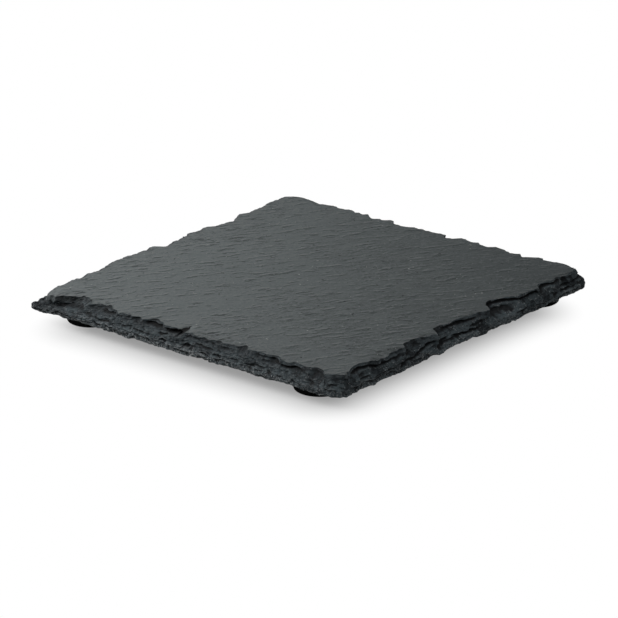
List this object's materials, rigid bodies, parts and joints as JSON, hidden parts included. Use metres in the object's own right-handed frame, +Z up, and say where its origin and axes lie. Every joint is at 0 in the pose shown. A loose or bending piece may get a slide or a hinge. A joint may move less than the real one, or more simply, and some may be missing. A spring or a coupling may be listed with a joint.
{
  "type": "drink coaster",
  "caption": "Square drink coaster split from natural slate, with hand-dressed flaked edges and round stick-on feet.",
  "frame": {"origin": "on the table plane under the middle of the slate, where the undersides of the feet rest", "axes": "+Z up through the slab, +X along the front edge and +Y towards the back edge"},
  "size_m": [0.1004, 0.1035, 0.0076],
  "materials": {
    "slate": "matte",
    "foot_rubber": "matte",
    "adhesive": "satin"
  },
  "bodies": {
    "root": {"slate": "slate", "foot_front_left": "foot_rubber", "foot_front_right": "foot_rubber", "foot_back_right": "foot_rubber", "foot_back_left": "foot_rubber", "adhesive_front_left": "adhesive", "adhesive_front_right": "adhesive", "adhesive_back_right": "adhesive", "adhesive_back_left": "adhesive"}
  },
  "joints": []
}
